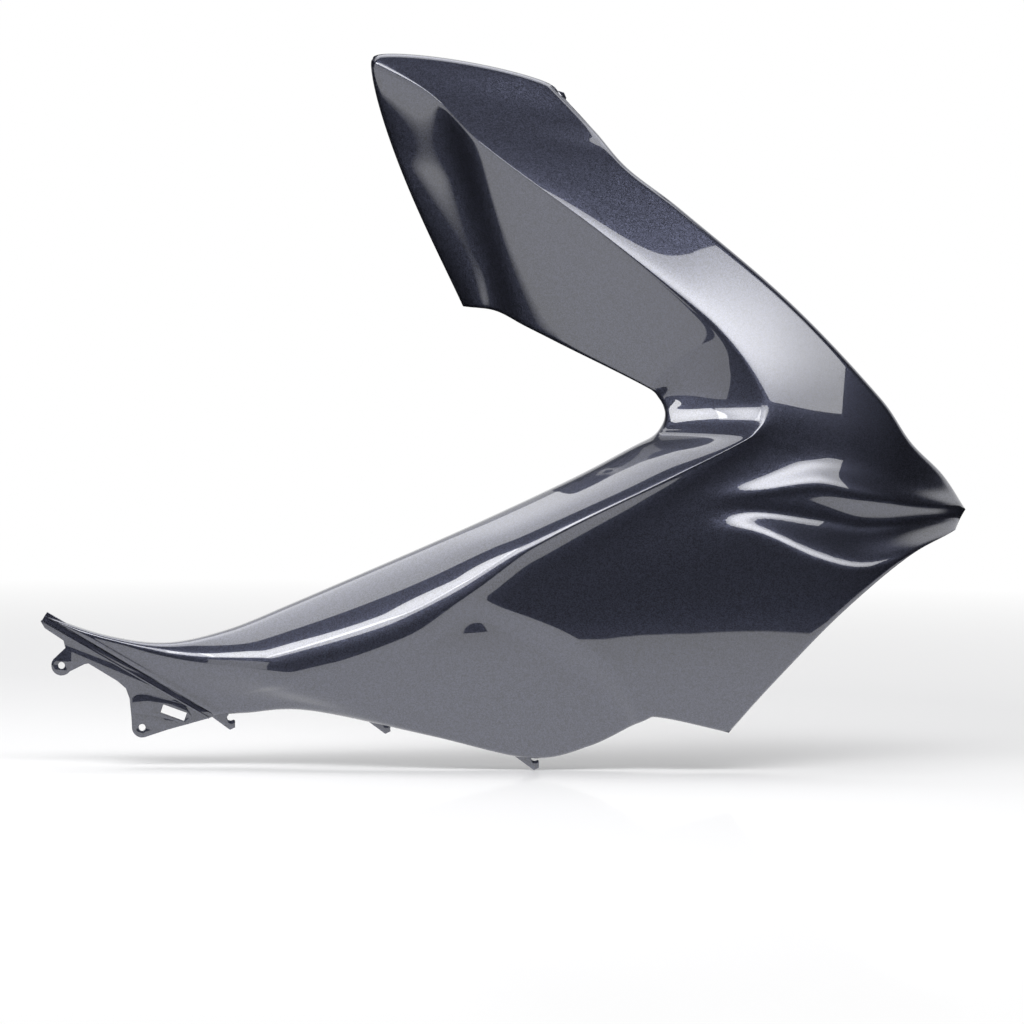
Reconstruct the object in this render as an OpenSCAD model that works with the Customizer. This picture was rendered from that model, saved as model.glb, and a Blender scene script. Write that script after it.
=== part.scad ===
/* [Skin] */
// Thickness of the moulded wall
wall = 2.6; // [2:0.1:2.6]
// Depth of the edge that turns in all round the panel
return_depth = 9; // [7:0.5:12]
// Radius where the outer face rolls over into that turned edge
edge_radius = 3.2; // [2.8:0.1:3.4]
// Size of the rounding along the main crease
crease_soft = 1.6; // [1.6:0.2:2.4]

/* [Face] */
// How far the V-shaped valley under the bend of the two arms sinks in
bend_depth = 34; // [28:1:36]
// How deep the air scoop behind the nose is
scoop_depth = 24; // [16:1:26]
// Height of the swelling just under the lower arm's crease
swell = 5; // [1:0.5:6]
// How far the flat facet near the bottom edge is stepped back from the face
facet_step = 3; // [1:0.5:4]

/* [Rear flange] */
// Thickness of the flange and its two lugs
flange_t = 3; // [2.4:0.1:4]
// Step from the outer face down to the flange
joggle = 4; // [3:0.5:6]
// Hole for an M5 screw in each lug
lug_hole_d = 5.5; // [5:0.1:6.4]
// Radius of a lug's rounded end
lug_r = 8.2; // [7:0.1:9]
// Length of the strap slot
slot_l = 20; // [14:1:22]
// Width of the strap slot
slot_w = 6.8; // [6.6:0.1:7.4]

/* [Hooks and pins] */
// Thickness of the hooks under the bottom edge
hook_t = 3; // [2:0.5:4]
// Diameter of the locating pins on the hidden side
pin_d = 8; // [6:0.5:10]
// Length of a locating pin past its foot
pin_l = 14; // [10:1:20]

/* [Hidden] */
$fn = 48;
body_colour = "#2c3038";

// Each line is a row of [station, x, z], with a 1 after it where the line turns a sharp corner.
// Stations count along the bent panel: 0 at the end of the upper arm, 23 at the rear of the lower.
LAST = 23;
INNER = [
    [0, 257, 331], [1, 283, 329], [2, 307, 318], [3, 333, 306], [6, 406, 272], [7, 415, 264],
    [8, 419, 256], [9, 419, 248], [10, 415, 240], [11, 409, 234], [12, 395, 227], [14, 343, 200],
    [17, 231, 148], [19, 119, 99], [20, 67, 78], [21, 19, 68], [22, -29, 74], [23, -78, 90]];
CREASE = [
    [0, 184, 533], [1, 231, 506], [2, 271, 468], [4, 367, 398], [6, 451, 331], [7, 481, 298],
    [8, 498, 268], [9, 499, 252], [10, 493, 242], [11, 483, 234], [13, 431, 208], [16, 311, 148],
    [17, 262, 112], [18, 207, 78], [20, 115, 41], [21, 90, 32], [22, 66, 25], [23, 40, 20]];
OUTER = [
    [0, 333, 508], [1, 364, 476], [2, 390, 447], [3, 431, 416], [5, 519, 342], [7, 593, 264],
    [8, 617, 229], [9, 643, 202], [10, 662, 173, 1], [11, 653, 158, 1], [12, 612, 139],
    [13, 558, 95], [14, 505, 40], [15, 470, 0, 1], [16, 417, 12], [17, 401, 9], [18, 359, -12],
    [19, 311, -22], [20, 231, -4], [21, 135, 15], [22, 83, 12], [23, 58, 10]];

// Lean of the outer face from upright, by height: it tucks under low down and falls back above.
LEAN = [[-60, -19], [0, -14], [60, -7], [105, 0], [180, 6], [245, 16], [300, 22], [370, 27],
    [450, 31], [560, 34]];
// Turn of the outer face by length: it draws in a little to the rear and a lot at the nose.
TURN = [[-100, -12], [100, -6], [300, -2], [420, 0], [500, 5], [560, 14], [600, 26], [640, 46],
    [670, 60]];
// Drop from the crease to the inner edge, by station, as a share of the drop at the bend
DROP = [[0, 0.5], [5, 0.58], [8, 0.62], [12, 0.76], [16, 0.86], [18, 1], [20, 0.84], [22, 0.56],
    [23, 0.44]];
// How far that drop is rounded instead of straight, by station
ROUND = [[0, 0], [6, 0.1], [8, 0.35], [12, 0.5], [16, 0.5], [18, 0.6], [20, 0.75], [22, 0.9],
    [23, 0.5]];
// Swelling under the lower arm, by station
SWELL = [[0, 0], [8, 0], [10, 0.5], [12, 0.9], [15, 1], [17, 0.7], [18, 0], [23, 0]];
swell_at = 24;
// The scoop by length: height of its middle and half its width
SCOOP = [[-100, 176, 12], [440, 176, 12], [490, 178, 14], [540, 171, 26], [575, 164, 26],
    [615, 164, 19], [662, 166, 11], [680, 166, 11]];
// Lengths between which the scoop grows from nothing to its full depth
scoop_start = 440;
scoop_full = 590;
// Height of the lip over the scoop as a share of its depth, and its width in half widths
lip_share = 0.42;
lip_width = 0.55;
// Outward bow of the arm's left edge and of its top edge, and how far it reaches along the arm
side_bow = 14;
top_bow = 11;
bow_reach = 1.5;
// How far the upper arm's end turns in, over how many stations at the crease, and the share of
// both that is left at the inner edge
roll_depth = 30;
roll_reach = 2.4;
roll_low = 0.3;
// Bend of the lines across the skin at the facet's front corner: station, reach and offset
elbow_at = 17;
elbow_reach = 1.6;
elbow = [27, 7];
// Where the facet's front edge is done, and its further step towards the bottom edge
facet_edge = 17.35;
facet_tilt = 6;
// Depth of the outer face at the rear edge, in front of the flange
rear_y = -joggle;
// Depth of the face at the height and the length where it stands upright and square
face_y = -64;
upright_z = 105;
square_x = 420;
// Depth of the drop at the bend's widest, for each millimetre of bend_depth
drop_share = 50 / 34;

function clamp(v, low, high) = max(low, min(high, v));
function ease(a, b, v) = let (f = clamp((v - a) / (b - a), 0, 1)) f * f * (3 - 2 * f);
function mix(a, b, f) = a + (b - a) * f;
function total(list, i = 0) = i < len(list) ? list[i] + total(list, i + 1) : 0;
function unit(v) = v / max(norm(v), 1e-9);
function cross2(a, b) = a[0] * b[1] - a[1] * b[0];

// Knot of a table at or before v
function knot(table, v, i = 0) =
    i >= len(table) - 2 || v < table[i + 1][0] ? i : knot(table, v, i + 1);
// Slope of column k at knot i, seen from the stretch between knots i and j
function slope(table, i, j, k) =
    let (
        sharp = table[i][3] == 1 || i == 0 || i == len(table) - 1,
        a = sharp ? min(i, j) : i - 1,
        b = sharp ? max(i, j) : i + 1
    )
    (table[b][k] - table[a][k]) / (table[b][0] - table[a][0]);
// Smooth value of column k at v, through every row of the table
function along(table, v, k = 1) =
    let (
        i = knot(table, v),
        step = table[i + 1][0] - table[i][0],
        f = (v - table[i][0]) / step,
        m0 = slope(table, i, i + 1, k) * step,
        m1 = slope(table, i + 1, i, k) * step
    )
    table[i][k] + f * (m0 + f * (3 * (table[i + 1][k] - table[i][k]) - 2 * m0 - m1
        + f * (m0 + m1 - 2 * (table[i + 1][k] - table[i][k]))));
function place(line, s) = [along(line, s, 1), along(line, s, 2)];
// Depth gathered along a table of angles whose tangent runs straight from row to row
function gather(table, v) =
    let (
        i = knot(table, v),
        k = [for (row = table) tan(row[1])],
        done = i == 0 ? 0
            : total([for (n = [0:i - 1]) (k[n] + k[n + 1]) / 2 * (table[n + 1][0] - table[n][0])]),
        d = v - table[i][0],
        rise = (k[i + 1] - k[i]) / (table[i + 1][0] - table[i][0])
    )
    done + k[i] * d + rise * d * d / 2;

// Depth of the plain outer face
function face(x, z) =
    face_y + gather(LEAN, z) - gather(LEAN, upright_z) + gather(TURN, x) - gather(TURN, square_x);
// Air scoop behind the nose: a lens-shaped pit under a lip, above a shelf that stands proud
function scoop(x, z) =
    let (
        across = (along(SCOOP, x, 1) - z) / along(SCOOP, x, 2),
        lip = lip_share * exp(-pow((across + 1) / lip_width, 2))
    )
    scoop_depth * ease(scoop_start, scoop_full, x) * (0.5 - ease(-0.1, 1.3, across) - lip);

// Place in the X-Z plane: t is -1 on the inner edge, 0 on the crease and 1 on the outer edge
function plan(s, t) =
    let (
        v = clamp(-t, 0, 1),
        w = clamp(t, 0, 1),
        end = pow(clamp(1 - s / bow_reach, 0, 1), 2),
        bend = clamp(1 - abs(s - elbow_at) / elbow_reach, 0, 1) * 4 * w * (1 - w),
        p = mix(mix(place(CREASE, s), place(INNER, s), v), place(OUTER, s), w)
    )
    p + bend * elbow
      + end * [-side_bow * pow(sin(180 * v), 0.6) * sqrt(1 - v), top_bow * pow(sin(180 * w), 0.4)];

// Depth that the edge roll adds at distance d from the edge
function roll(d) =
    d >= edge_radius ? 0 : edge_radius - sqrt(max(0, pow(edge_radius, 2) - pow(edge_radius - d, 2)));
// Distance of a point from the straight line through a and b
function off_line(p, a, b) = abs(cross2(p - a, unit(b - a)));
function edge_gap(p, s, t) =
    let (
        step = 0.02,
        side = t < 0 ? -1 : 1,
        sa = clamp(s, step, LAST - step),
        ta = clamp(t, -1 + step, 1 - step),
        far_side = off_line(p, plan(sa - step, side), plan(sa + step, side)),
        arm_end = off_line(p, plan(0, ta - step), plan(0, ta + step)),
        rear_end = off_line(p, plan(LAST, -1), plan(LAST, 1))
    )
    min(far_side, s < 3 ? arm_end : far_side, s > 21 ? rear_end : far_side);

// Larger of two depths, rounded over where they cross
function soft_max(a, b, size) = (a + b + sqrt(pow(a - b, 2) + size * size)) / 2;

// Point of the outer skin
function skin(s, t) =
    let (
        p = plan(s, t),
        ridge = place(CREASE, s),
        d = norm(p - ridge),
        v = (t < 0 ? 1 : -1) * d / norm(place(INNER, s) - ridge),
        round = along(ROUND, s),
        drop = drop_share * bend_depth * along(DROP, s),
        arch = drop * ((1 - round) * v + (t < 0 ? round * v * v : 0)),
        share = mix(1, roll_low, clamp(v, 0, 1)),
        tip_roll = roll_depth * share * pow(clamp(1 - s / (roll_reach * share), 0, 1), 2) * ease(0, 0.4, v),
        inner_face = face(ridge[0], ridge[1]) + scoop(ridge[0], ridge[1]) + arch + tip_roll,
        band = t > 0 ? swell * along(SWELL, s) * d / swell_at * exp(1 - d / swell_at) : 0,
        step = facet_step * ease(0, 0.12, t) + facet_tilt * ease(0, 0.6, t),
        facet = step * ease(elbow_at, facet_edge, s) * ease(0, 1.5, 22 - s),
        outer_face = face(p[0], p[1]) + scoop(p[0], p[1]) + band + facet,
        y = mix(soft_max(inner_face, outer_face, crease_soft), rear_y, ease(21, LAST, s))
    )
    [p[0], y + roll(edge_gap(p, s, t)), p[1]];

// Rows of the net: close together along the crease and at both edges, even between
border = 3;
edge_rows = [0, 0.4, 1.4, 3.4];
crease_rows = [2.5, 6];
// Rows between those on each side of the crease, and columns between two stations
inner_rows = 6;
outer_rows = 9;
fineness = 2;
function side_rows(line, s, count) =
    let (
        side = place(line, s) - place(CREASE, s),
        run = place(line, min(s + 0.05, LAST)) - place(line, max(s - 0.05, 0)),
        skew = max(0.2, abs(cross2(unit(side), unit(run)))),
        k = min(1, norm(side) / (edge_rows[border] / skew + crease_rows[1] + 2)) / norm(side),
        edge = [for (d = edge_rows) 1 - d * k / skew],
        near = [for (d = crease_rows) d * k]
    )
    [each near, for (n = [1:count]) mix(near[1], edge[border], n / (count + 1)),
        for (n = [border:-1:0]) edge[n]];
function rows(s) =
    let (inside = side_rows(INNER, s, inner_rows), outside = side_rows(OUTER, s, outer_rows))
    [for (n = [len(inside) - 1:-1:0]) -inside[n], 0, each outside];
columns = [0, 0.03, 0.09, 0.2, for (n = [1:LAST * fineness - 1]) n / fineness,
    LAST - 0.32, LAST - 0.12, LAST - 0.03, LAST];

// Closed shell: the outer skin, the inner skin one wall behind it, and the turned edge between them
module shell() {
    outer = [for (s = columns) [for (t = rows(s)) skin(s, t)]];
    ns = len(columns);
    nt = len(outer[0]);
    inward = [for (i = [0:ns - 1]) [for (j = [0:nt - 1])
        let (
            ds = outer[min(i + 1, ns - 1)][j] - outer[max(i - 1, 0)][j],
            dt = outer[i][min(j + 1, nt - 1)] - outer[i][max(j - 1, 0)],
            n = unit(cross(ds, dt))
        )
        n[1] < 0 ? -n : n]];
    inner = [for (i = [0:ns - 1]) [for (j = [0:nt - 1]) outer[i][j] + wall * inward[i][j]]];
    ring = [
        for (j = [0:nt - 1]) [0, j],
        for (i = [1:ns - 1]) [i, nt - 1],
        for (j = [nt - 2:-1:0]) [ns - 1, j],
        for (i = [ns - 2:-1:1]) [i, 0]];
    nr = len(ring);
    rim = [for (r = ring) outer[r[0]][r[1]]];
    outward = [for (k = [0:nr - 1])
        let (d = rim[(k + 1) % nr] - rim[(k + nr - 1) % nr])
        unit([-d[2], 0, d[0]])];
    rim_back = [for (p = rim) p + [0, return_depth, 0]];
    // Near a corner of the net the turned edge's inner side is one point, where its two sides meet
    corners = [0, nt - 1, nt + ns - 2, 2 * nt + ns - 3];
    function near_corner(k) = let (r = ring[k % nr])
        [for (c = corners) if (near_end(r[0]) && near_side(r[1]) && same_corner(r, ring[c])) c];
    function near_end(i) = columns[i] <= columns[border] || columns[i] > LAST - 0.55;
    function near_side(j) = j <= border || j >= nt - 1 - border;
    function same_corner(r, c) = (r[0] < ns / 2) == (c[0] < ns / 2) && (r[1] < nt / 2) == (c[1] < nt / 2);
    function mitre(k) =
        let (before = outward[(k + nr - border - 2) % nr], after = outward[(k + border + 2) % nr])
        (before + after) / (1 + before * after);
    rim_inside = [for (k = [0:nr - 1])
        rim_back[k] - wall * (len(search(k, corners)) > 0 ? mitre(k) : outward[k])];
    grid = ns * nt;
    function front(i, j) = i * nt + j;
    function back(i, j) = grid + clamp(i, border, ns - 1 - border) * nt + clamp(j, border, nt - 1 - border);
    function edge_front(k) = front(ring[k % nr][0], ring[k % nr][1]);
    function edge_back(k) = back(ring[k % nr][0], ring[k % nr][1]);
    function edge_far(k) = 2 * grid + k % nr;
    function edge_far_in(k) = let (c = near_corner(k)) 2 * grid + nr + (len(c) > 0 ? c[0] : k % nr);
    function quad(a, b, c, d) = [for (f = [[a, b, c], [a, c, d]])
        if (f[0] != f[1] && f[1] != f[2] && f[2] != f[0]) f];
    faces = [
        for (i = [0:ns - 2]) for (j = [0:nt - 2])
            each [each quad(front(i, j), front(i, j + 1), front(i + 1, j + 1), front(i + 1, j)),
                each quad(back(i, j), back(i + 1, j), back(i + 1, j + 1), back(i, j + 1))],
        for (k = [0:nr - 1])
            each [each quad(edge_front(k), edge_far(k), edge_far(k + 1), edge_front(k + 1)),
                each quad(edge_far(k), edge_far_in(k), edge_far_in(k + 1), edge_far(k + 1)),
                each quad(edge_far_in(k), edge_back(k), edge_back(k + 1), edge_far_in(k + 1))]];
    points = [for (row = outer) each row, for (row = inner) each row, each rim_back, each rim_inside];
    polyhedron(points, faces, convexity = 6);
}

// Flat part in the plane of the flange: a 2D shape in X-Z, from depth y to y + t
module flat(y, t) {
    translate([0, y + t, 0]) rotate([90, 0, 0]) linear_extrude(t) children();
}

// Outline of the flange, from its free finger down to the foot of the first hook
FLANGE = [[-81, 85], [-78, 80], [-63, 70], [-60, 62], [-46, 51], [-43, 51.5], [-20, 37.5], [-13, 31.5],
    [-10, 23], [-8, 4], [2, -4], [20, -2], [54, 7.5], [62, 10]];
REAR_TOP = [-78, 90];
REAR_FOOT = [58, 10];
upper_lug = [-64.6, 50];
lower_lug = [0, 0];
slot_at = [25.4, 12];
slot_turn = -20;

// A lug: a round end on a neck that runs up into the flange
module lug(centre, root_a, root_b) {
    translate(centre) circle(lug_r);
    side = unit([-(root_a + root_b - 2 * centre)[1], (root_a + root_b - 2 * centre)[0]]) * (lug_r - 0.3);
    polygon([centre + side, root_a, root_b, centre - side]);
}
module slot_shape(l, w) {
    translate(slot_at) rotate(slot_turn) square([l, w], center = true);
}
module flange() {
    difference() {
        union() {
            flat(0, flange_t) {
                polygon([each FLANGE, REAR_FOOT, REAR_TOP]);
                lug(upper_lug, [-57, 64], [-47, 53]);
                lug(lower_lug, [-8.6, 10], [22, -1]);
            }
            // Raised step round the slot, and a rib along the joggle
            flat(-1, 1.5)
                polygon([[-8, 24], [-4, 27], [4, 27], [34, 19], [40, 9], [37, 2.5], [14, 8.5], [-8, 12]]);
            flat(-1.6, 2)
                polygon([REAR_TOP + [-2.6, -3.4], REAR_TOP + [-3.2, -4.6], REAR_FOOT + [-4.6, -3], REAR_FOOT + [-3.8, -1.6]]);
        }
        for (c = [upper_lug, lower_lug])
            translate([c[0], -5, c[1]]) rotate([-90, 0, 0]) cylinder(d = lug_hole_d, h = flange_t + 10);
        flat(-5, flange_t + 10) slot_shape(slot_l, slot_w);
    }
}

// Hooks under the bottom edge: a slanting back, a nose and a round-rooted notch that opens forwards
HOOKS = [[52, 22.85], [177, 20.6], [296, 19.25]];
module hook_shape() {
    difference() {
        polygon([[-1, 6], [0, 0], [18.5, -13.5], [22.5, -11.5], [22.5, -5.5], [20.5, -4], [18.5, 6]]);
        translate([18.3, -3.6]) circle(2.2);
        translate([18.3, -4.6]) square([6, 3.2]);
    }
}
module hook(x, s) {
    foot = skin(s, 1);
    translate([x, 0, foot[2] + 1]) flat(foot[1] + 3, hook_t) hook_shape();
}

// Locating pins on the hidden side, each on a foot that is cut to the skin's slope
PINS = [[2.1, 0.42], [8.8, 0.62], [14.2, 0.5]];
foot_r = 7;
foot_h = 12;
module pin(s, t) {
    p = skin(s, t);
    n = unit(cross(skin(s + 0.1, t) - p, skin(s, t + 0.05) - p));
    inward = n[1] < 0 ? -n : n;
    lean = acos(inward[1]);
    axis = cross([0, 1, 0], inward);
    difference() {
        translate(p) rotate([-90, 0, 0]) {
            translate([0, 0, -foot_r]) cylinder(r = foot_r, h = foot_r + foot_h);
            cylinder(d = pin_d, h = foot_h + pin_l - 2);
            translate([0, 0, foot_h + pin_l - 2]) cylinder(d1 = pin_d, d2 = pin_d - 3, h = 2, $fn = 48);
        }
        translate(p) rotate(lean, axis) translate([-20, wall * 0.5 - 40, -20]) cube([40, 40, 40]);
    }
}

// Small tab behind the corner where the top edge meets the front edge
module tab() {
    corner = skin(0, 1);
    flat(corner[1] + 4, 2.4) polygon([[328, 500], [334, 508], [339, 506.5], [341, 502], [337, 495]]);
}

// Everything that stands on the shell, joined to it in one step
module fittings() {
    flange();
    for (h = HOOKS) hook(h[0], h[1]);
    for (p = PINS) pin(p[0], p[1]);
    tab();
}

module fairing_panel() {
    color(body_colour) {
        shell();
        fittings();
    }
}

fairing_panel();
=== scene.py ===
import math

import bmesh
import bpy
import numpy as np
from mathutils import Matrix, Vector


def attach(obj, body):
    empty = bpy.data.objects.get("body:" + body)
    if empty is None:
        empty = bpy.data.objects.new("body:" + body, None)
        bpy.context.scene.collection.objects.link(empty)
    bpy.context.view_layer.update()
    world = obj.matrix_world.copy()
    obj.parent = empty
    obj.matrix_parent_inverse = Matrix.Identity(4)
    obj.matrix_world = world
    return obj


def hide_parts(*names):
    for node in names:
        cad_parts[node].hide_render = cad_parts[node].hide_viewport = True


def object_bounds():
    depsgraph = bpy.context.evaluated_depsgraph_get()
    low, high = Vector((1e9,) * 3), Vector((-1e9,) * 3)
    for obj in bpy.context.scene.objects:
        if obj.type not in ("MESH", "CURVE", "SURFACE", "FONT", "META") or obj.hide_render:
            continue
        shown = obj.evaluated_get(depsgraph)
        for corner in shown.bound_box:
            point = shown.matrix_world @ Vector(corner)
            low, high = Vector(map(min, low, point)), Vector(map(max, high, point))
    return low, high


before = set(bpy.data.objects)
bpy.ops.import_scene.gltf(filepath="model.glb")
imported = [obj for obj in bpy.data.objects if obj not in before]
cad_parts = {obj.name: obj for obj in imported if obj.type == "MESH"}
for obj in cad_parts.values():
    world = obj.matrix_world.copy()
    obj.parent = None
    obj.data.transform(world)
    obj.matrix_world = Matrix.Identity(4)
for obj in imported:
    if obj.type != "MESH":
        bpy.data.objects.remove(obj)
cad_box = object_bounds()

MM = 0.001

# The panel's own sizes, in millimetres
WALL = 2.6
RETURN_DEPTH = 9.0
EDGE_RADIUS = 3.2
SCOOP_DEPTH = 24.0
DROP_DEPTH = 50.0  # the deepest drop behind the crease
SWELL_HEIGHT = 5.0
SWELL_AT = 24.0  # how far below the crease the band under the lower arm stands proudest
FACET_STEP = 3.0
FACET_TILT = 6.0  # further step of the facet towards the bottom edge
JOGGLE = 4.0
FLANGE_T = 3.0
LUG_HOLE_R = 2.75
LUG_R = 8.2
SLOT_L = 20.0
SLOT_W = 6.8
HOOK_T = 3.0
PIN_D = 8.0
PIN_L = 14.0

# Depth of the face at the height and the length where it stands upright and square
FACE_Y = -64.0
UPRIGHT_Z = 105.0
SQUARE_X = 420.0
# Outward bow of the arm's left edge and of its top edge, and how far it reaches along the arm
SIDE_BOW = 14.0
TOP_BOW = 11.0
BOW_REACH = 1.5
# How far the upper arm's end turns in, over how many stations at the crease, the share of both
# that is left at the inner edge, and the share of the width behind the crease where it is full
ROLL_DEPTH = 30.0
ROLL_REACH = 2.4
ROLL_LOW = 0.3
ROLL_FULL = 0.4
# Bend of the lines across the skin at the facet's front corner: station, reach and offset
ELBOW_AT = 17
ELBOW_REACH = 1.6
ELBOW = [27, 7]
# Stations where the facet's front edge is done and where its rear end starts and fades out
FACET_EDGE = 17.35
FACET_REAR = 22
FACET_FADE = 1.5
# Shares of the facet's width over which it steps back and tilts
STEP_WIDTH = 0.12
TILT_WIDTH = 0.6
# Stations over which the skin comes down to the flange
JOGGLE_REACH = (19.8, 22.6)
# Stations within which the skin's two ends are rolled in as its long edges are
ARM_END = 3
REAR_END = 21

# Lines along the bent panel: station, x, z, and 1 where the line turns a sharp corner
LAST = 23
INNER = [
    (0, 257, 331), (1, 283, 329), (2, 307, 318), (3, 333, 306), (6, 406, 272), (7, 415, 264),
    (8, 419, 256), (9, 419, 248), (10, 415, 240), (11, 409, 234), (12, 395, 227), (14, 343, 200),
    (17, 231, 148), (19, 119, 99), (20, 67, 78), (21, 19, 68), (22, -29, 74), (23, -78, 90)]
CREASE = [
    (0, 184, 533), (1, 231, 506), (2, 271, 468), (4, 367, 398), (6, 451, 331), (7, 481, 298),
    (8, 498, 268), (9, 499, 252), (10, 493, 242), (11, 483, 234), (13, 431, 208), (16, 311, 148),
    (17, 262, 112), (18, 207, 78), (20, 115, 41), (21, 90, 32), (22, 66, 25), (23, 40, 20)]
OUTER = [
    (0, 333, 508), (1, 364, 476), (2, 390, 447), (3, 431, 416), (5, 519, 342), (7, 593, 264),
    (8, 617, 229), (9, 643, 202), (10, 662, 173, 1), (11, 653, 158, 1), (12, 612, 139),
    (13, 558, 95), (14, 505, 40), (15, 470, 0, 1), (16, 417, 12), (17, 401, 9), (18, 359, -12),
    (19, 311, -22), (20, 231, -4), (21, 135, 15), (22, 83, 12), (23, 58, 10)]

# Angles of the outer face in degrees: its lean by height and its turn by length
LEAN = [(-60, -19), (0, -14), (60, -7), (105, 0), (180, 6), (245, 16), (300, 22), (370, 27),
        (450, 31), (560, 34)]
TURN = [(-100, -12), (100, -6), (300, -2), (420, 0), (500, 5), (560, 14), (600, 26), (640, 46),
        (670, 60)]
# Size of the rounding along the crease, by station: it opens out towards the rear
SOFT = [(0, 4), (3, 2), (6, 1.6), (13, 1.6), (16, 3), (18, 7), (20, 14), (21.5, 18), (22.4, 12),
        (23, 4)]
# The scoop by length: height of its middle and half its width
SCOOP = [(-100, 176, 12), (440, 176, 12), (490, 178, 14), (540, 171, 26), (575, 164, 26),
         (615, 164, 19), (662, 166, 11), (680, 166, 11)]
SCOOP_REACH = (440, 590)
# The lip above it: its height as a share of the scoop's depth, and its width of the half width
LIP_SHARE = 0.32
LIP_WIDTH = 0.55
# Drop to the inner edge, how rounded it is, and the swelling under the lower arm, by station
DROP = [(0, 0.5), (5, 0.58), (8, 0.62), (12, 0.76), (16, 0.86), (18, 1), (20, 0.84), (22, 0.56),
        (23, 0.44)]
ROUND = [(0, 0), (6, 0.1), (8, 0.35), (12, 0.5), (16, 0.5), (18, 0.6), (20, 0.75), (22, 0.9),
         (23, 0.5)]
SWELL = [(0, 0), (8, 0), (10, 0.5), (12, 0.9), (15, 1), (17, 0.7), (18, 0), (23, 0)]


def ease(a, b, v):
    """Smooth climb from 0 at a to 1 at b."""
    f = np.clip((v - a) / (b - a), 0, 1)
    return f * f * (3 - 2 * f)


def mix(a, b, f):
    return a + (b - a) * f


def along(table, v, column=1):
    """Smooth value of a column at v, through every row of the table."""
    knots = np.array([row[0] for row in table], float)
    value = np.array([row[column] for row in table], float)
    sharp = np.array([len(row) > 3 and row[3] == 1 for row in table])
    sharp[[0, -1]] = True
    v = np.asarray(v, float)
    i = np.clip(np.searchsorted(knots, v, side="right") - 1, 0, len(knots) - 2)
    j = i + 1
    low = np.where(sharp[i], i, i - 1)
    high = np.where(sharp[j], j, np.minimum(j + 1, len(knots) - 1))
    step = knots[j] - knots[i]
    m0 = (value[j] - value[low]) / (knots[j] - knots[low]) * step
    m1 = (value[high] - value[i]) / (knots[high] - knots[i]) * step
    f = (v - knots[i]) / step
    rise = value[j] - value[i]
    return value[i] + f * (m0 + f * (3 * rise - 2 * m0 - m1 + f * (m0 + m1 - 2 * rise)))


def place(line, s):
    """Point of a line along the panel at station s, in the X-Z plane."""
    return np.stack([along(line, s, 1), along(line, s, 2)], -1)


def gather(table, v):
    """Depth gathered along a table of angles whose tangent runs straight from row to row."""
    at = np.array([row[0] for row in table], float)
    slope = np.tan(np.radians([row[1] for row in table]))
    done = np.concatenate([[0], np.cumsum((slope[1:] + slope[:-1]) / 2 * np.diff(at))])
    i = np.clip(np.searchsorted(at, v, side="right") - 1, 0, len(at) - 2)
    d = v - at[i]
    rise = (slope[i + 1] - slope[i]) / (at[i + 1] - at[i])
    return done[i] + slope[i] * d + rise * d * d / 2


def face(x, z):
    """Depth of the plain outer face."""
    origin = gather(LEAN, np.array(UPRIGHT_Z)) + gather(TURN, np.array(SQUARE_X))
    return FACE_Y + gather(LEAN, z) + gather(TURN, x) - origin


def scoop(x, z):
    """Air scoop behind the nose: a lens-shaped pit under an upper lip, above a shelf."""
    across = (along(SCOOP, x, 1) - z) / along(SCOOP, x, 2)
    lip = LIP_SHARE * np.exp(-((across + 1) / LIP_WIDTH) ** 2)
    return SCOOP_DEPTH * ease(*SCOOP_REACH, x) * (0.5 - ease(-0.1, 1.3, across) - lip)


def plan(s, t):
    """Place in the X-Z plane: t is -1 on the inner edge, 0 on the crease, 1 on the outer edge."""
    v = np.clip(-t, 0, 1)
    w = np.clip(t, 0, 1)
    end = np.clip(1 - s / BOW_REACH, 0, 1) ** 2
    bend = np.clip(1 - np.abs(s - ELBOW_AT) / ELBOW_REACH, 0, 1) * 4 * w * (1 - w)
    crease = place(CREASE, s)
    p = mix(crease, place(INNER, s), v[..., None])
    p = mix(p, place(OUTER, s), w[..., None])
    side = -SIDE_BOW * np.sin(np.pi * v).clip(0) ** 0.6 * np.sqrt(1 - v)
    top = TOP_BOW * np.sin(np.pi * w).clip(0) ** 0.4
    return p + bend[..., None] * ELBOW + end[..., None] * np.stack([side, top], -1)


def off_line(p, a, b):
    """Distance of p from the straight line through a and b."""
    along_line = (b - a) / np.linalg.norm(b - a, axis=-1, keepdims=True)
    q = p - a
    return np.abs(q[..., 0] * along_line[..., 1] - q[..., 1] * along_line[..., 0])


def edge_gap(p, s, t):
    """Distance of p from the nearest edge of the skin."""
    step = 0.02
    side = np.where(t < 0, -1.0, 1.0)
    sa = np.clip(s, step, LAST - step)
    ta = np.clip(t, -1 + step, 1 - step)
    zero = np.zeros_like(s)
    far_side = off_line(p, plan(sa - step, side), plan(sa + step, side))
    arm_end = off_line(p, plan(zero, ta - step), plan(zero, ta + step))
    rear_end = off_line(p, plan(zero + LAST, zero - 1), plan(zero + LAST, zero + 1))
    gap = np.where(s < ARM_END, np.minimum(far_side, arm_end), far_side)
    return np.where(s > REAR_END, np.minimum(gap, rear_end), gap)


def roll(d):
    """Depth of the rounded edge at the distance d from it."""
    inside = EDGE_RADIUS**2 - (EDGE_RADIUS - np.minimum(d, EDGE_RADIUS)) ** 2
    return np.where(d >= EDGE_RADIUS, 0, EDGE_RADIUS - np.sqrt(inside.clip(0)))


def soft_max(a, b, size):
    """The larger of two depths, rounded over where they meet."""
    return (a + b + np.sqrt((a - b) ** 2 + size * size)) / 2


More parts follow.
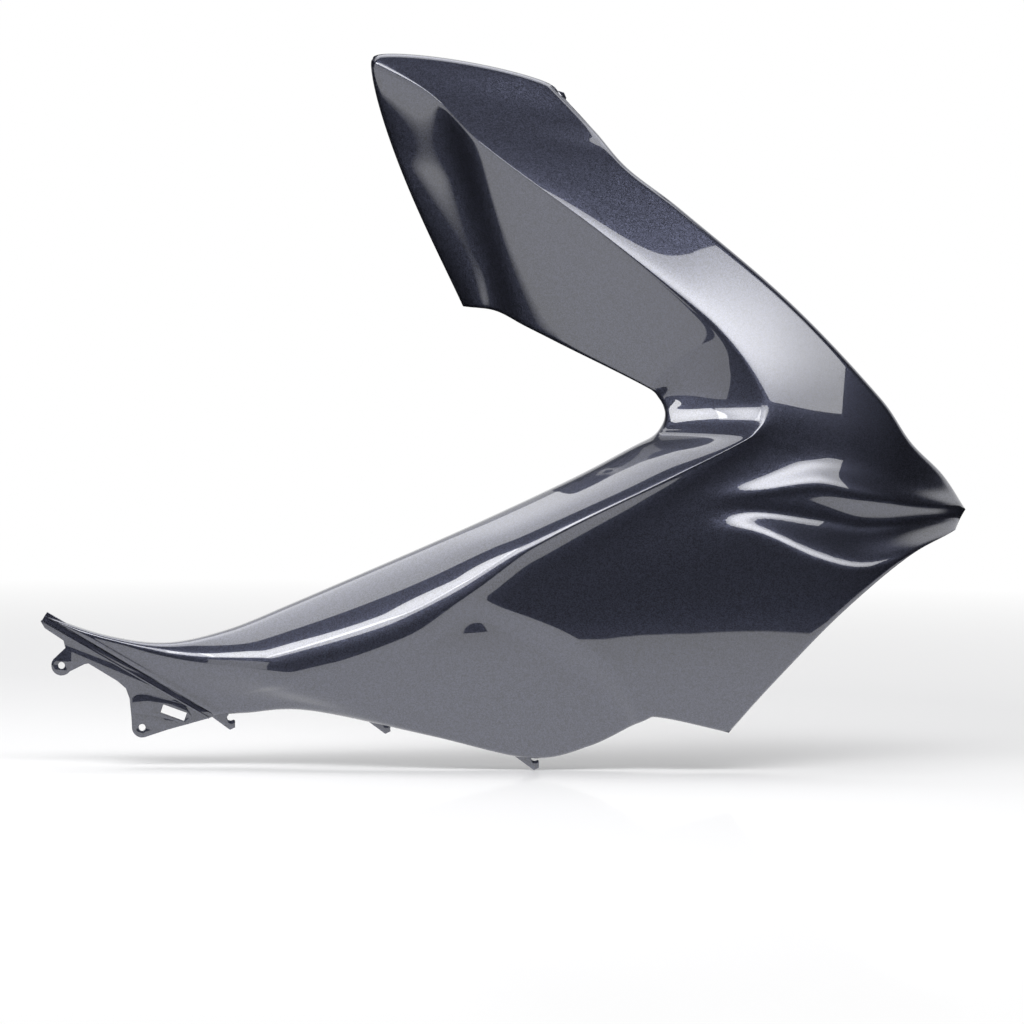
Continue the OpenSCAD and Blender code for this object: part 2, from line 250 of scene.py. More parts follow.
def skin(s, t):
    """Points of the outer skin, in millimetres."""
    p = plan(s, t)
    x, z = p[..., 0], p[..., 1]
    ridge = place(CREASE, s)
    ridge_x, ridge_z = ridge[..., 0], ridge[..., 1]
    d = np.linalg.norm(p - ridge, axis=-1)
    v = np.where(t < 0, 1, -1) * d / np.linalg.norm(place(INNER, s) - ridge, axis=-1)
    rounded = along(ROUND, s)
    drop = DROP_DEPTH * along(DROP, s)
    arch = drop * ((1 - rounded) * v + np.where(t < 0, rounded * v * v, 0))
    share = mix(1, ROLL_LOW, v.clip(0, 1))
    turned = np.clip(1 - s / (ROLL_REACH * share), 0, 1) ** 2
    tip_roll = ROLL_DEPTH * share * turned * ease(0, ROLL_FULL, v)
    inner_face = face(ridge_x, ridge_z) + scoop(ridge_x, ridge_z) + arch + tip_roll
    swell = SWELL_HEIGHT * along(SWELL, s) * d / SWELL_AT * np.exp(1 - d / SWELL_AT)
    band = np.where(t > 0, swell, 0)
    step = FACET_STEP * ease(0, STEP_WIDTH, t) + FACET_TILT * ease(0, TILT_WIDTH, t)
    facet = step * ease(ELBOW_AT, FACET_EDGE, s) * ease(0, FACET_FADE, FACET_REAR - s)
    outer_face = face(x, z) + scoop(x, z) + band + facet
    folded = soft_max(inner_face, outer_face, along(SOFT, s))
    y = mix(folded, -JOGGLE, ease(*JOGGLE_REACH, s))
    return np.stack([x, y + roll(edge_gap(p, s, t)), z], -1)


# Net of the painted skin: rows run along the panel, close together at the crease and the edges,
# and its stations are close together at both ends
EDGE_ROWS = [0, 0.15, 0.45, 0.9, 1.5, 2.3, 3.4]
CREASE_ROWS = [0.6, 1.2, 1.8, 2.5, 3.4, 4.6, 6]
ARM_STATIONS = [0, 0.006, 0.018, 0.036, 0.06, 0.1, 0.15]
REAR_STATIONS = [0.32, 0.22, 0.14, 0.08, 0.04, 0.015, 0]
BORDER = len(EDGE_ROWS) - 1
INNER_COUNT = 34
OUTER_COUNT = 54
PER_STATION = 14
LEAST_SKEW = 0.2


def side_rows(line, s, count):
    """Shares of the width, from the crease to one edge, where the net's rows lie at each station."""
    side = place(line, s) - place(CREASE, s)
    run = place(line, np.minimum(s + 0.05, LAST)) - place(line, np.maximum(s - 0.05, 0))
    length = np.linalg.norm(side, axis=-1)
    turn = side[:, 0] * run[:, 1] - side[:, 1] * run[:, 0]
    skew = np.maximum(LEAST_SKEW, np.abs(turn) / length / np.linalg.norm(run, axis=-1))
    k = np.minimum(1, length / (EDGE_ROWS[-1] / skew + CREASE_ROWS[-1] + 2)) / length
    edge = [1 - d * k / skew for d in EDGE_ROWS]
    near = [d * k for d in CREASE_ROWS]
    middle = [mix(near[-1], edge[-1], n / (count + 1)) for n in range(1, count + 1)]
    return near + middle + edge[::-1]


def net():
    """The net's stations and its places across, one row for each station."""
    middle = [n / PER_STATION for n in range(3, LAST * PER_STATION - 4)]
    s = np.array(ARM_STATIONS + middle + [LAST - gap for gap in REAR_STATIONS])
    inside = side_rows(INNER, s, INNER_COUNT)
    outside = side_rows(OUTER, s, OUTER_COUNT)
    t = np.stack([-r for r in inside[::-1]] + [np.zeros_like(s)] + outside, 1)
    return np.repeat(s[:, None], t.shape[1], 1), t


def hex_colour(text):
    """sRGB hex to linear RGBA."""
    srgb = [int(text[i:i + 2], 16) / 255 for i in (1, 3, 5)]
    return tuple(c / 12.92 if c <= 0.04045 else ((c + 0.055) / 1.055) ** 2.4 for c in srgb) + (1.0,)


def add_node(tree, kind, settings=None, links=None):
    """A node with its settings and its input values or links."""
    node = tree.nodes.new(kind)
    for name, value in (settings or {}).items():
        setattr(node, name, value)
    for name, value in (links or {}).items():
        if isinstance(value, bpy.types.NodeSocket):
            tree.links.new(value, node.inputs[name])
        else:
            node.inputs[name].default_value = value
    return node


def new_material(name):
    material = bpy.data.materials.new(name)
    material.use_nodes = True
    return material, material.node_tree, material.node_tree.nodes["Principled BSDF"]


FLAKE_MM = 0.7  # real flakes are about 0.05 mm: drawn coarser, so that they still show
FLAKE_TILT = 0.1
GRAIN_MM = 1.2  # real spark erosion is about 0.1 mm: drawn coarser, so that it still shows
GRAIN_DEPTH_MM = 0.1
SHADE_MM = 40  # broad, faint change of shade over the bare plastic


def metallic_paint():
    """Gunmetal metallic base coat: aluminium flakes sparkle in it, under a smooth clear coat."""
    material, tree, shader = new_material("gunmetal_metallic_paint")
    where = add_node(tree, "ShaderNodeTexCoord").outputs["Object"]
    cells = add_node(tree, "ShaderNodeTexVoronoi", {"feature": "F1"},
                     {"Vector": where, "Scale": 1 / (FLAKE_MM * MM)})
    tilt = add_node(tree, "ShaderNodeVectorMath", {"operation": "SUBTRACT"},
                    {0: cells.outputs["Color"], 1: (0.5, 0.5, 0.5)})
    tilt = add_node(tree, "ShaderNodeVectorMath", {"operation": "SCALE"},
                    {0: tilt.outputs[0], "Scale": FLAKE_TILT})
    normal = add_node(tree, "ShaderNodeNewGeometry").outputs["Normal"]
    tilt = add_node(tree, "ShaderNodeVectorMath", {"operation": "ADD"}, {0: normal, 1: tilt.outputs[0]})
    tilt = add_node(tree, "ShaderNodeVectorMath", {"operation": "NORMALIZE"}, {0: tilt.outputs[0]})
    tree.links.new(tilt.outputs[0], shader.inputs["Normal"])
    shade = add_node(tree, "ShaderNodeSeparateColor", None, {"Color": cells.outputs["Color"]})
    ramp = add_node(tree, "ShaderNodeValToRGB", None, {"Fac": shade.outputs["Red"]})
    ramp.color_ramp.elements[0].color = hex_colour("#373944")
    ramp.color_ramp.elements[1].color = hex_colour("#535669")
    tree.links.new(ramp.outputs["Color"], shader.inputs["Base Color"])
    shader.inputs["Metallic"].default_value = 0.9
    shader.inputs["Roughness"].default_value = 0.36
    shader.inputs["Coat Weight"].default_value = 1.0
    shader.inputs["Coat Roughness"].default_value = 0.02
    shader.inputs["Coat IOR"].default_value = 2.0
    return material


def bare_plastic():
    """Unpainted black ABS of the hidden side: a fine spark-eroded grain left by the mould."""
    material, tree, shader = new_material("bare_black_abs")
    where = add_node(tree, "ShaderNodeTexCoord").outputs["Object"]
    grain = add_node(tree, "ShaderNodeTexNoise", None,
                     {"Vector": where, "Scale": 1 / (GRAIN_MM * MM), "Detail": 3.0})
    bump = add_node(tree, "ShaderNodeBump", None,
                    {"Height": grain.outputs["Fac"], "Strength": 0.25, "Distance": GRAIN_DEPTH_MM * MM})
    tree.links.new(bump.outputs["Normal"], shader.inputs["Normal"])
    tone = add_node(tree, "ShaderNodeTexNoise", None,
                    {"Vector": where, "Scale": 1 / (SHADE_MM * MM), "Detail": 2.0})
    ramp = add_node(tree, "ShaderNodeValToRGB", None, {"Fac": tone.outputs["Fac"]})
    ramp.color_ramp.elements[0].color = hex_colour("#17181a")
    ramp.color_ramp.elements[1].color = hex_colour("#222427")
    tree.links.new(ramp.outputs["Color"], shader.inputs["Base Color"])
    shader.inputs["Roughness"].default_value = 0.5
    return material


def add_piece(name, data):
    """A mesh, lamp, curve or camera as an object of the scene, at the origin."""
    piece = bpy.data.objects.new(name, data)
    bpy.context.scene.collection.objects.link(piece)
    return piece


def smooth(mesh, angle):
    """Smooth shading, but for edges sharper than the angle."""
    mesh.polygons.foreach_set("use_smooth", [True] * len(mesh.polygons))
    mesh.set_sharp_from_angle(angle=math.radians(angle))


def rim_of(ns, nt):
    """Rows and columns of the net's border, once round, and the places of its four corners."""
    ring = [(0, j) for j in range(nt)] + [(i, nt - 1) for i in range(1, ns)]
    ring += [(ns - 1, j) for j in range(nt - 2, -1, -1)] + [(i, 0) for i in range(ns - 2, 0, -1)]
    return np.array(ring), [0, nt - 1, nt + ns - 2, 2 * nt + ns - 3]


def nearest_corners(s, ring, corners):
    """For each point of the rim its own place, but near a corner that corner's."""
    ns, nt = s.shape
    nr = len(ring)
    station = s[ring[:, 0], 0]
    in_end = (station <= s[BORDER, 0] + 0.05) | (station > LAST - 0.52)
    in_side = (ring[:, 1] <= BORDER) | (ring[:, 1] >= nt - 1 - BORDER)
    near = [[k for k in corners if (ring[r, 0] < ns / 2) == (ring[k, 0] < ns / 2)
             and (ring[r, 1] < nt / 2) == (ring[k, 1] < nt / 2)][0] for r in range(nr)]
    return np.where(in_end & in_side, near, np.arange(nr))


def outward_of(rim):
    """Unit vectors in the X-Z plane that point out of the rim."""
    run = np.roll(rim, -1, 0) - np.roll(rim, 1, 0)
    outward = np.stack([-run[:, 2], np.zeros(len(rim)), run[:, 0]], -1)
    return outward / np.linalg.norm(outward, axis=-1, keepdims=True)


def painted_skin(paint, bare):
    """The closed shell: outer skin, inner skin one wall behind, and the turned-in edge."""
    s, t = net()
    outer = skin(s, t)
    ns, nt = s.shape
    normal = np.cross(np.gradient(outer, axis=0), np.gradient(outer, axis=1))
    normal /= np.linalg.norm(normal, axis=-1, keepdims=True)
    normal *= np.sign(normal[..., 1:2])
    inner = outer + WALL * normal
    ring, corners = rim_of(ns, nt)
    nr = len(ring)
    rim = outer[ring[:, 0], ring[:, 1]]
    far = rim + [0, RETURN_DEPTH, 0]
    outward = outward_of(rim)
    inset = outward.copy()
    for corner in corners:
        before = outward[(corner - BORDER - 3) % nr]
        after = outward[(corner + BORDER + 3) % nr]
        inset[corner] = (before + after) / (1 + before @ after)
    far_inside = far - WALL * inset
    index = np.arange(ns * nt).reshape(ns, nt)
    rows = np.clip(np.arange(ns), BORDER, ns - 1 - BORDER)
    columns = np.clip(np.arange(nt), BORDER, nt - 1 - BORDER)
    back = ns * nt + index[np.ix_(rows, columns)]
    k = np.arange(nr)
    n = (k + 1) % nr
    front_edge = index[ring[:, 0], ring[:, 1]]
    back_edge = back[ring[:, 0], ring[:, 1]]
    lip = 2 * ns * nt + k
    lip_inside = 2 * ns * nt + nr + nearest_corners(s, ring, corners)
    sheets = [
        (index[:-1, :-1], index[1:, :-1], index[1:, 1:], index[:-1, 1:], paint),
        (back[:-1, :-1], back[:-1, 1:], back[1:, 1:], back[1:, :-1], bare),
        (front_edge, front_edge[n], lip[n], lip, paint),
        (lip, lip[n], lip_inside[n], lip_inside, paint),
        (lip_inside, lip_inside[n], back_edge[n], back_edge, bare)]
    faces, slots = [], []
    for *sides, coat in sheets:
        for quad in np.stack(sides, -1).reshape(-1, 4).tolist():
            distinct = [q for m, q in enumerate(quad) if q != quad[m - 1]]
            if len(set(distinct)) >= 3:
                faces.append(distinct)
                slots.append((paint, bare).index(coat))
    points = np.concatenate([outer.reshape(-1, 3), inner.reshape(-1, 3), far, far_inside]) * MM
    mesh = bpy.data.meshes.new("painted_skin")
    mesh.from_pydata(points.tolist(), [], faces)
    mesh.materials.append(paint)
    mesh.materials.append(bare)
    mesh.polygons.foreach_set("material_index", slots)
    cleaned = bmesh.new()
    cleaned.from_mesh(mesh)
    loose = [vert for vert in cleaned.verts if not vert.link_faces]
    bmesh.ops.delete(cleaned, geom=loose, context="VERTS")
    cleaned.to_mesh(mesh)
    cleaned.free()
    smooth(mesh, 35)
    return add_piece("painted_skin", mesh)


def flat_piece(name, loops, y, thickness, material, bevel=0.35):
    """Flat moulded plate in the X-Z plane with softened edges: an outline and its holes."""
    curve = bpy.data.curves.new(name, "CURVE")
    curve.dimensions = "2D"
    curve.fill_mode = "BOTH"
    curve.extrude = (thickness / 2 - bevel) * MM
    curve.bevel_depth = bevel * MM
    curve.bevel_resolution = 2
    curve.offset = -bevel * MM
    for loop in loops:
        spline = curve.splines.new("POLY")
        spline.points.add(len(loop) - 1)
        for point, (x, z) in zip(spline.points, loop):
            point.co = (x * MM, z * MM, 0, 1)
        spline.use_cyclic_u = True
    holder = add_piece(name + "_curve", curve)
    graph = bpy.context.evaluated_depsgraph_get()
    mesh = bpy.data.meshes.new_from_object(holder.evaluated_get(graph))
    bpy.data.objects.remove(holder)
    upright = Matrix.Rotation(math.pi / 2, 4, "X")
    mesh.transform(Matrix.Translation((0, (y + thickness / 2) * MM, 0)) @ upright)
    clean = bmesh.new()
    clean.from_mesh(mesh)
    bmesh.ops.remove_doubles(clean, verts=clean.verts, dist=0.01 * MM)
    bmesh.ops.recalc_face_normals(clean, faces=clean.faces)
    clean.to_mesh(mesh)
    clean.free()
    mesh.materials.clear()
    mesh.materials.append(material)
    smooth(mesh, 30)
    return add_piece(name, mesh)


def arc(centre, radius, start, end, count):
    angles = np.radians(np.linspace(start, end, count))
    return [(centre[0] + radius * math.cos(a), centre[1] + radius * math.sin(a)) for a in angles]


def join(name, pieces):
    """One mesh out of several that belong to one moulding detail."""
    merged = bmesh.new()
    for piece in pieces:
        merged.from_mesh(piece.data)
    mesh = bpy.data.meshes.new(name)
    merged.to_mesh(mesh)
    merged.free()
    mesh.materials.append(pieces[0].data.materials[0])
    for piece in pieces:
        bpy.data.objects.remove(piece)
    return add_piece(name, mesh)


def set_out_tree(material):
    """Geometry Nodes that set one moulding out at points, each copy moved on by the same offset."""
    tree = bpy.data.node_groups.new("set_out", "GeometryNodeTree")
    for name, kind in (("Places", "Geometry"), ("Moulding", "Object"), ("Set Back", "Float"),
                       ("Rise", "Float")):
        tree.interface.new_socket(name, in_out="INPUT", socket_type="NodeSocket" + kind)
    tree.interface.new_socket("Copies", in_out="OUTPUT", socket_type="NodeSocketGeometry")
    given = add_node(tree, "NodeGroupInput").outputs
    offset = add_node(tree, "ShaderNodeCombineXYZ", None, {"Y": given["Set Back"], "Z": given["Rise"]})
    points = add_node(tree, "GeometryNodeSetPosition", None,
                      {"Geometry": given["Places"], "Offset": offset.outputs["Vector"]})
    moulding = add_node(tree, "GeometryNodeObjectInfo", None, {"Object": given["Moulding"]})
    copies = add_node(tree, "GeometryNodeInstanceOnPoints", None,
                      {"Points": points.outputs["Geometry"], "Instance": moulding.outputs["Geometry"]})
    real = add_node(tree, "GeometryNodeRealizeInstances", None,
                    {"Geometry": copies.outputs["Instances"]})
    dressed = add_node(tree, "GeometryNodeSetMaterial", None,
                       {"Geometry": real.outputs["Geometry"], "Material": material})
    add_node(tree, "NodeGroupOutput", None, {"Copies": dressed.outputs["Geometry"]})
    return tree


def set_out(name, moulding, places, set_back, rise, material):
    """One plain mesh of a moulding's copies, which stand at the places given in millimetres."""
    mesh = bpy.data.meshes.new(name + "_places")
    mesh.from_pydata([tuple(v * MM for v in place) for place in places], [], [])
    holder = add_piece(name + "_places", mesh)
    modifier = holder.modifiers.new("set_out", "NODES")
    modifier.node_group = set_out_tree(material)
    values = {"Moulding": moulding, "Set Back": set_back * MM, "Rise": rise * MM}
    for item in modifier.node_group.interface.items_tree:
        if item.name in values:
            modifier[item.identifier] = values[item.name]
    graph = bpy.context.evaluated_depsgraph_get()
    copies = bpy.data.meshes.new_from_object(holder.evaluated_get(graph))
    bpy.data.objects.remove(holder)
    bpy.data.objects.remove(moulding)
    return add_piece(name, copies)


UPPER_LUG = (-64.6, 50.0)
LOWER_LUG = (0.0, 0.0)
SLOT_AT = (25.4, 12.0)
SLOT_TURN = -20.0


def rear_flange(material):
    """Flange behind the skin's rear end: plate with two lugs, raised step and bead, cut by a slot."""
    outline = [(-81, 85), (-78, 80), (-63, 70), (-61.5, 64)]
    outline += arc(UPPER_LUG, LUG_R, 143, 322, 24)
    outline += [(-46, 51), (-43, 51.5), (-20, 37.5), (-13, 31.5), (-10, 23), (-8.6, 8)]
    outline += arc(LOWER_LUG, LUG_R, 176, 288, 18)
    outline += [(20, -2), (54, 7.5), (60, 10), (60, 14), (-76, 93), (-78, 90)]
    holes = [arc(c, LUG_HOLE_R, 0, 345, 24) for c in (UPPER_LUG, LOWER_LUG)]
    turn = Matrix.Rotation(math.radians(SLOT_TURN), 2)
    slot = []
    for x, z in ((-1, -1), (1, -1), (1, 1), (-1, 1)):
        corner = turn @ Vector((x * SLOT_L / 2, z * SLOT_W / 2))
        slot.append((SLOT_AT[0] + corner.x, SLOT_AT[1] + corner.y))
    plate = flat_piece("flange_plate", [outline, *holes, slot], 0, FLANGE_T, material)
    step_outline = [(-8, 24), (-4, 27), (4, 27), (34, 19), (40, 9), (37, 2.5), (14, 8.5), (-8, 12)]
    step = flat_piece("flange_step", [step_outline, slot], -1, 1.5, material)
    bead_outline = [(-80.6, 86.6), (-81.2, 85.4), (53.4, 7), (54.2, 8.4)]
    bead = flat_piece("flange_bead", [bead_outline], -1.6, 2, material)
    return join("rear_flange", [plate, step, bead])


# Length along the panel of each hook, and the station where the skin's edge passes it
HOOKS = [(52, 22.85), (177, 20.6), (296, 19.25)]
HOOK_SET_BACK = 3.0
HOOK_RISE = 1.0


def edge_hooks(material):
    """Three hooks under the bottom edge, behind its turned-in wall."""
    shape = [(-1, 6), (0, 0), (18.5, -13.5), (22.5, -11.5), (22.5, -5.8), (21.5, -5.2), (19.2, -5.9)]
    shape += arc((18.3, -3.6), 2.2, 250, 120, 10)
    shape += [(18.5, 6)]
    hook = flat_piece("hook", [shape], 0, HOOK_T, material)
    places = []
    for x, s in HOOKS:
        edge = skin(np.array([s]), np.array([1.0]))[0]
        places.append((x, edge[1], edge[2]))
    return set_out("edge_hooks", hook, places, HOOK_SET_BACK, HOOK_RISE, material)


def corner_tab(material):
    """Small tab behind the upper front corner."""
    corner = skin(np.array([0.0]), np.array([1.0]))[0]
    outline = [(328, 500), (334, 508), (339, 506.5), (341, 502), (337, 495)]
    return flat_piece("corner_tab", [outline], corner[1] + 4, 2.4, material)


# Station and place across of each pin
PINS = [(2.1, 0.42), (8.8, 0.62), (14.2, 0.5)]
FOOT_R = 7.0
FOOT_H = 12.0
CHAMFER_R = 1.5
CHAMFER_H = 2.0
PIN_SIDES = 40


def locating_pins(material):
    """Pins on the hidden side: a foot cut to the skin's slope, a shank and a chamfered end."""
    tip = FOOT_H + PIN_L
    profile = [(FOOT_R, None), (FOOT_R, FOOT_H), (PIN_D / 2, FOOT_H), (PIN_D / 2, tip - CHAMFER_H),
               (PIN_D / 2 - CHAMFER_R, tip), (0, tip)]
    pins = bmesh.new()
    for s, t in PINS:
        p = skin(np.array([s]), np.array([t]))[0]
        ds = skin(np.array([s + 0.1]), np.array([t]))[0] - p
        dt = skin(np.array([s]), np.array([t + 0.05]))[0] - p
        n = np.cross(ds, dt)
        n /= np.linalg.norm(n) * np.sign(n[1])
        rings = []
        for radius, height in profile:
            ring = []
            for k in range(PIN_SIDES if radius > 0 else 1):
                a = 2 * math.pi * k / PIN_SIDES
                dx = radius * math.cos(a)
                dz = radius * math.sin(a)
                in_wall = -(n[0] * dx + n[2] * dz) / n[1] + WALL * 0.5 / n[1]
                y = in_wall if height is None else height
                ring.append(pins.verts.new(Vector((p[0] + dx, p[1] + y, p[2] + dz)) * MM))
            rings.append(ring)
        for low, high in zip(rings, rings[1:]):
            for k in range(PIN_SIDES):
                m = (k + 1) % PIN_SIDES
                top = [high[0]] if len(high) == 1 else [high[m], high[k]]
                pins.faces.new([low[k], low[m], *top])
        pins.faces.new(rings[0])
    bmesh.ops.recalc_face_normals(pins, faces=pins.faces)
    mesh = bpy.data.meshes.new("locating_pins")
    pins.to_mesh(mesh)
    pins.free()
    mesh.materials.append(material)
    smooth(mesh, 30)
    return add_piece("locating_pins", mesh)


# The part of the floor that the panel sees as a painted lit patch, in metres: beyond it the floor is
# painted black in the panel's reflections, and each border of the patch is a soft painted shade
LIT_RIGHT = 0.9
LIT_BACK = 0.08
LIT_FRONT = -0.84
LIT_SLANT = 0.43
SOFT_BORDER = 0.08
FRONT_BORDER = 0.04
# The floor fades to plain white between these distances from the origin, in metres
FADE_FROM = 0.9
FADE_TO = 2.0
FLOOR_RADIUS = 3.2
FLOOR_X = 0.3


def painted_lit_patch(tree, where):
    """Painted light of the floor in the panel's reflections: 1 on its painted lit part and 0 beyond each
    of its three borders.
    """
    borders = [((1, 0, 0), LIT_RIGHT, SOFT_BORDER), ((0, 1, 0), LIT_BACK, SOFT_BORDER),
               ((-LIT_SLANT, 1, 0), LIT_FRONT, -FRONT_BORDER)]
    lit = 1.0
    for axis, edge, border in borders:
        across = add_node(tree, "ShaderNodeVectorMath", {"operation": "DOT_PRODUCT"}, {0: where, 1: axis})
        side = add_node(tree, "ShaderNodeMapRange", None,
                        {"Value": across.outputs["Value"], "From Min": edge + border, "From Max": edge})
        both = {0: lit, 1: side.outputs["Result"]}
        lit = add_node(tree, "ShaderNodeMath", {"operation": "MULTIPLY"}, both).outputs[0]
    return lit


def floor(level):
    """White studio floor: it keeps the panel's shadow; to the panel's reflections it shows only a painted
    lit patch, which glows by emission, and is black beyond it.
    """
    material, tree, shader = new_material("white_studio_floor")
    shader.inputs["Base Color"].default_value = hex_colour("#f9f9fa")
    shader.inputs["Roughness"].default_value = 1.0
    shader.inputs["Specular IOR Level"].default_value = 0.0
    gloss = add_node(tree, "ShaderNodeBsdfGlossy", None, {"Roughness": 0.05})
    polished = add_node(tree, "ShaderNodeMixShader", None,
                        {"Fac": 0.1, 1: shader.outputs["BSDF"], 2: gloss.outputs["BSDF"]})
    where = add_node(tree, "ShaderNodeNewGeometry").outputs["Position"]
    length = add_node(tree, "ShaderNodeVectorMath", {"operation": "LENGTH"}, {0: where})
    fade = add_node(tree, "ShaderNodeMapRange", None,
                    {"Value": length.outputs["Value"], "From Min": FADE_FROM, "From Max": FADE_TO})
    white = add_node(tree, "ShaderNodeEmission", None, {"Strength": 1.0})
    open_floor = add_node(tree, "ShaderNodeMixShader", None,
                          {"Fac": fade.outputs["Result"], 1: polished.outputs[0], 2: white.outputs[0]})
    # Painted reflection: glossy rays see the floor as an emission glow on the painted lit patch, not as
    # the lamps light it
    painted_lit_floor = add_node(tree, "ShaderNodeEmission", None, {"Strength": painted_lit_patch(tree, where)})
    glossy_ray = add_node(tree, "ShaderNodeLightPath").outputs["Is Glossy Ray"]
    seen = add_node(tree, "ShaderNodeMixShader", None,
                    {"Fac": glossy_ray, 1: open_floor.outputs[0], 2: painted_lit_floor.outputs[0]})
    tree.links.new(seen.outputs[0], tree.nodes["Material Output"].inputs["Surface"])
    mesh = bpy.data.meshes.new("studio_floor")
    build = bmesh.new()
    bmesh.ops.create_circle(build, cap_ends=True, segments=96, radius=FLOOR_RADIUS)
    build.to_mesh(mesh)
    build.free()
    mesh.transform(Matrix.Translation((FLOOR_X, 0, level)))
    mesh.materials.append(material)
    add_piece("studio_floor", mesh)


# The white card left of the panel, in metres
CARD_X = -1.25
CARD_FRONT = -1.9
CARD_BACK = -0.35
CARD_LOW = -0.03
CARD_HIGH = 1.0


def reflector_card():
    """White card that stands left of the panel, out of the picture, and shows in the sunk wall: it glows
    by emission, a painted light in place of a card lit by the lamps.
    """
    material, tree, _ = new_material("white_glowing_card")
    # Painted light: the card's brightness is its own emission, not light from the lamps
    glow = add_node(tree, "ShaderNodeEmission", None, {"Strength": 0.9})
    tree.links.new(glow.outputs[0], tree.nodes["Material Output"].inputs["Surface"])
    corners = [(CARD_X, CARD_FRONT, CARD_LOW), (CARD_X, CARD_BACK, CARD_LOW),
               (CARD_X, CARD_BACK, CARD_HIGH), (CARD_X, CARD_FRONT, CARD_HIGH)]
    mesh = bpy.data.meshes.new("reflector_card")
    mesh.from_pydata(corners, [], [(0, 1, 2, 3)])
    mesh.materials.append(material)
    add_piece("reflector_card", mesh)


def softbox(name, centre, target, width, height, radiance, rim):
    """Rectangular lamp, brightest in its middle; rim is the share of light left at its border."""
    lamp = bpy.data.lights.new(name, "AREA")
    lamp.shape = "RECTANGLE"
    lamp.size = width
    lamp.size_y = height
    lamp.energy = radiance * math.pi * width * height
    lamp.use_nodes = True
    tree = lamp.node_tree
    across = add_node(tree, "ShaderNodeNewGeometry").outputs["Parametric"]
    off_centre = add_node(tree, "ShaderNodeVectorMath", {"operation": "SUBTRACT"},
                          {0: across, 1: (0.5, 0.5, 0)})
    away = add_node(tree, "ShaderNodeVectorMath", {"operation": "LENGTH"}, {0: off_centre.outputs[0]})
    fall = add_node(tree, "ShaderNodeMapRange", {"interpolation_type": "SMOOTHSTEP"},
                    {"Value": away.outputs["Value"], "From Min": 0.1, "From Max": 0.6,
                     "To Min": 1.0, "To Max": rim})
    tree.links.new(fall.outputs["Result"], tree.nodes["Emission"].inputs["Strength"])
    holder = add_piece(name, lamp)
    holder.location = centre
    holder.rotation_euler = (Vector(target) - Vector(centre)).to_track_quat("-Z", "Y").to_euler()


ROOM_DARK = 0.012
FILL = 0.25


def studio_world():
    """White backdrop behind the panel, dark room in front of it, white to the camera all round.

    Incoming points back along the ray: its X is positive for what lies left of the panel, and
    its Y is negative for what lies behind.
    """
    world = bpy.data.worlds.new("studio")
    bpy.context.scene.world = world
    world.use_nodes = True
    tree = world.node_tree
    tree.nodes.clear()
    direction = add_node(tree, "ShaderNodeNewGeometry").outputs["Incoming"]
    parts = add_node(tree, "ShaderNodeSeparateXYZ", None, {"Vector": direction})
    side = add_node(tree, "ShaderNodeMapRange", {"interpolation_type": "SMOOTHSTEP"},
                    {"Value": parts.outputs["X"], "From Min": 0.85, "From Max": 0.6})
    behind = add_node(tree, "ShaderNodeMapRange", {"interpolation_type": "SMOOTHSTEP"},
                      {"Value": parts.outputs["Y"], "From Min": -0.1, "From Max": -0.4,
                       "To Min": ROOM_DARK, "To Max": side.outputs["Result"]})
    room = add_node(tree, "ShaderNodeBackground", None,
                    {"Color": (1, 1, 1, 1), "Strength": behind.outputs["Result"]})
    fill = add_node(tree, "ShaderNodeBackground", None, {"Color": (1, 1, 1, 1), "Strength": FILL})
    white = add_node(tree, "ShaderNodeBackground", None, {"Color": (1, 1, 1, 1), "Strength": 1.0})
    path = add_node(tree, "ShaderNodeLightPath")
    glossy = add_node(tree, "ShaderNodeMixShader", None,
                      {"Fac": path.outputs["Is Glossy Ray"], 1: fill.outputs[0], 2: room.outputs[0]})
    seen = add_node(tree, "ShaderNodeMixShader", None,
                    {"Fac": path.outputs["Is Camera Ray"], 1: glossy.outputs[0], 2: white.outputs[0]})
    add_node(tree, "ShaderNodeOutputWorld", None, {"Surface": seen.outputs[0]})


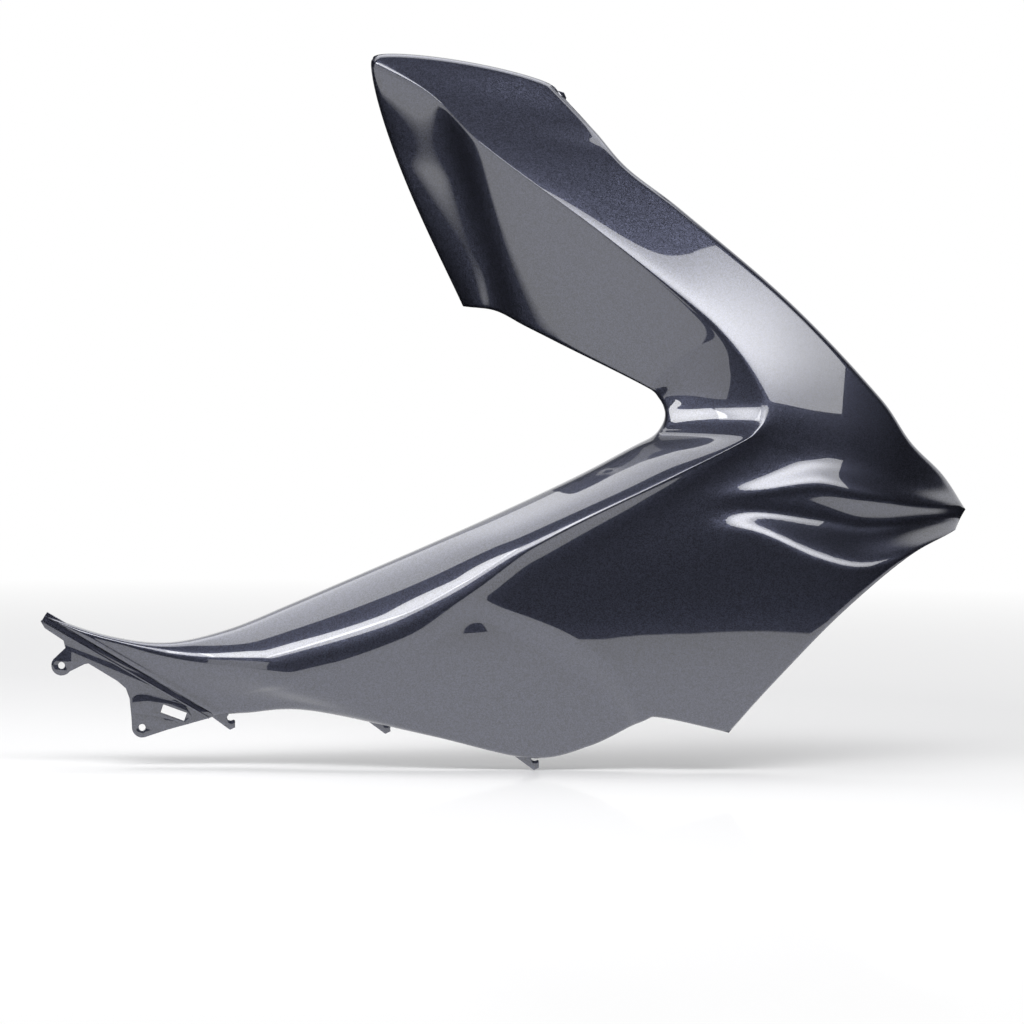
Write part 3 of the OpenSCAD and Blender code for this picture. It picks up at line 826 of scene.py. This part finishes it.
PHOTO_MM_PER_PIXEL = 0.8
PHOTO_SIZE = 1024
PHOTO_ORIGIN = (140.8, 730.5)  # the lower lug hole in the photograph
CAMERA_DISTANCE = 9.0
CAMERA_ELEVATION = 4.0
AIM_Y = -0.02
SENSOR_MM = 36


def camera():
    """Long lens in front of the painted face, set so that the picture covers the photograph's frame."""
    across = (PHOTO_SIZE / 2 - PHOTO_ORIGIN[0]) * PHOTO_MM_PER_PIXEL * MM
    up = (PHOTO_ORIGIN[1] - PHOTO_SIZE / 2) * PHOTO_MM_PER_PIXEL * MM
    aim = Vector((across, AIM_Y, up))
    elevation = math.radians(CAMERA_ELEVATION)
    back = Vector((0, -math.cos(elevation), math.sin(elevation)))
    data = bpy.data.cameras.new("camera")
    data.sensor_width = SENSOR_MM
    data.lens = SENSOR_MM * CAMERA_DISTANCE / (PHOTO_SIZE * PHOTO_MM_PER_PIXEL * MM)
    data.clip_end = 100
    holder = add_piece("camera", data)
    holder.location = aim + back * CAMERA_DISTANCE
    holder.rotation_euler = (-back).to_track_quat("-Z", "Y").to_euler()
    bpy.context.scene.camera = holder


# Each lamp's centre and what it faces, in metres, then its width, height, radiance and rim
SOFTBOXES = {
    "key_softbox": ((0.75, -1.9, 2.0), (0.45, 0, 0.25), 3.0, 1.15, 5.5, 0.4),
    "left_softbox": ((-0.72, -1.5, 1.65), (0.15, 0, 0.3), 0.8, 0.7, 5.0, 0.6),
    "side_softbox": ((-0.96, -0.88, 1.38), (0.45, 0, 0.26), 0.6, 0.5, 6.0, 0.8),
    "overhead_softbox": ((-0.2, 0.6, 2.2), (-0.2, 0.6, 0), 2.8, 1.6, 2.1, 0.9)}

paint = metallic_paint()
bare = bare_plastic()
shell = painted_skin(paint, bare)
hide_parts("fairing_panel")
for piece in (shell, rear_flange(paint), edge_hooks(paint), corner_tab(paint), locating_pins(bare)):
    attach(piece, "root")
floor(cad_box[0].z)
reflector_card()
studio_world()
for lamp_name, lamp_sizes in SOFTBOXES.items():
    softbox(lamp_name, *lamp_sizes)
camera()
bpy.context.scene.view_settings.view_transform = "Standard"
